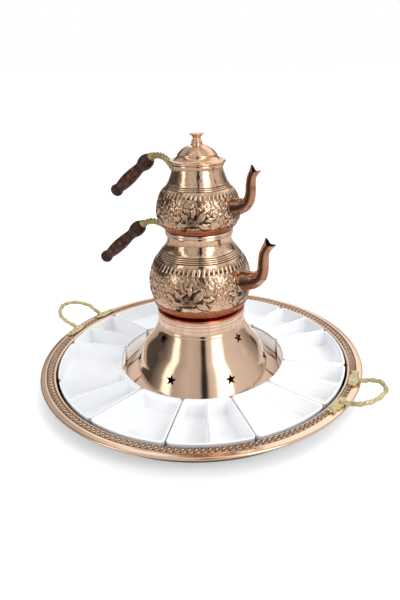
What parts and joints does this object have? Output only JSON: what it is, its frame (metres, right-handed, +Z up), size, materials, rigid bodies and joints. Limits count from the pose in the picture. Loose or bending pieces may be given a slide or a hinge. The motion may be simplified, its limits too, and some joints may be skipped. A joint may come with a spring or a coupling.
{
  "type": "tea serving tray",
  "caption": "Round copper serving tray with brass handles, removable porcelain wedge dishes and a vented central stand carrying stacked copper teapots.",
  "frame": {"origin": "centre of the tray's flat underside", "axes": "+Z up; the two brass tray handles lie on the X axis, both spouts point to +X and both wooden grips to -X"},
  "size_m": [0.7182, 0.6, 0.4538],
  "materials": {
    "tray_copper": "polished copper sheet",
    "stand_copper": "spun copper, fine turning lines",
    "pot_copper": "hammered and chased copper, darkened in its hollows",
    "spout_copper": "polished copper",
    "tinned_copper": "tinned copper",
    "cast_brass": "cast brass with floral relief",
    "brass_rivets": "polished brass",
    "burner_brass": "satin brass",
    "porcelain": "white glazed porcelain",
    "turned_wood": "turned, stained and lacquered hardwood",
    "cotton_wick": "twisted cotton",
    "steel_wire": "plain steel wire",
    "steel_rod": "plain steel"
  },
  "bodies": {
    "tray": {"tray_pan": "tray_copper", "tray_rim_wire": "steel_wire", "tray_handle_right": "cast_brass", "tray_handle_left": "cast_brass", "tray_handle_rivets": "brass_rivets"},
    "stand": {"stand_cone": "stand_copper", "stand_neck_band": "stand_copper", "stand_support_ring": "stand_copper"},
    "burner": {"burner_cup": "burner_brass", "burner_top": "burner_brass", "burner_wick": "cotton_wick"},
    "lower_pot": {"lower_pot_body": "pot_copper", "lower_pot_rim_ring": "pot_copper", "lower_pot_spout": "spout_copper", "lower_pot_arm": "cast_brass", "lower_pot_arm_rivets": "brass_rivets", "lower_pot_grip": "turned_wood", "lower_pot_grip_rod": "steel_rod"},
    "upper_pot": {"upper_pot_body": "pot_copper", "upper_pot_base_band": "tinned_copper", "upper_pot_rim_ring": "pot_copper", "upper_pot_spout": "spout_copper", "upper_pot_arm": "cast_brass", "upper_pot_arm_rivets": "brass_rivets", "upper_pot_grip": "turned_wood", "upper_pot_grip_rod": "steel_rod"},
    "lid_group": {"lid": "pot_copper", "lid_knob": "pot_copper", "lid_screw": "steel_rod"},
    "double_dish_1": {"double_dish_1": "porcelain"},
    "single_dish_1": {"single_dish_1": "porcelain"},
    "double_dish_2": {"double_dish_2": "porcelain"},
    "single_dish_2": {"single_dish_2": "porcelain"},
    "double_dish_3": {"double_dish_3": "porcelain"},
    "single_dish_3": {"single_dish_3": "porcelain"},
    "double_dish_4": {"double_dish_4": "porcelain"},
    "single_dish_4": {"single_dish_4": "porcelain"},
    "double_dish_5": {"double_dish_5": "porcelain"},
    "single_dish_5": {"single_dish_5": "porcelain"},
    "double_dish_6": {"double_dish_6": "porcelain"},
    "single_dish_6": {"single_dish_6": "porcelain"}
  },
  "joints": [
    {"name": "stand_lift", "type": "slide", "parent": "tray", "child": "stand", "axis": [0, 0, 1], "range_m": [0, 0.15]},
    {"name": "burner_lift", "type": "slide", "parent": "tray", "child": "burner", "axis": [0, 0, 1], "range_m": [0, 0.07]},
    {"name": "lower_pot_lift", "type": "slide", "parent": "stand", "child": "lower_pot", "axis": [0, 0, 1], "range_m": [0, 0.12]},
    {"name": "upper_pot_lift", "type": "slide", "parent": "lower_pot", "child": "upper_pot", "axis": [0, 0, 1], "range_m": [0, 0.1]},
    {"name": "lid_lift", "type": "slide", "parent": "upper_pot", "child": "lid_group", "axis": [0, 0, 1], "range_m": [0, 0.08]},
    {"name": "double_dish_1_lift", "type": "slide", "parent": "tray", "child": "double_dish_1", "axis": [0, 0, 1], "range_m": [0, 0.08]},
    {"name": "single_dish_1_lift", "type": "slide", "parent": "tray", "child": "single_dish_1", "axis": [0, 0, 1], "range_m": [0, 0.08]},
    {"name": "double_dish_2_lift", "type": "slide", "parent": "tray", "child": "double_dish_2", "axis": [0, 0, 1], "range_m": [0, 0.08]},
    {"name": "single_dish_2_lift", "type": "slide", "parent": "tray", "child": "single_dish_2", "axis": [0, 0, 1], "range_m": [0, 0.08]},
    {"name": "double_dish_3_lift", "type": "slide", "parent": "tray", "child": "double_dish_3", "axis": [0, 0, 1], "range_m": [0, 0.08]},
    {"name": "single_dish_3_lift", "type": "slide", "parent": "tray", "child": "single_dish_3", "axis": [0, 0, 1], "range_m": [0, 0.08]},
    {"name": "double_dish_4_lift", "type": "slide", "parent": "tray", "child": "double_dish_4", "axis": [0, 0, 1], "range_m": [0, 0.08]},
    {"name": "single_dish_4_lift", "type": "slide", "parent": "tray", "child": "single_dish_4", "axis": [0, 0, 1], "range_m": [0, 0.08]},
    {"name": "double_dish_5_lift", "type": "slide", "parent": "tray", "child": "double_dish_5", "axis": [0, 0, 1], "range_m": [0, 0.08]},
    {"name": "single_dish_5_lift", "type": "slide", "parent": "tray", "child": "single_dish_5", "axis": [0, 0, 1], "range_m": [0, 0.08]},
    {"name": "double_dish_6_lift", "type": "slide", "parent": "tray", "child": "double_dish_6", "axis": [0, 0, 1], "range_m": [0, 0.08]},
    {"name": "single_dish_6_lift", "type": "slide", "parent": "tray", "child": "single_dish_6", "axis": [0, 0, 1], "range_m": [0, 0.08]}
  ]
}
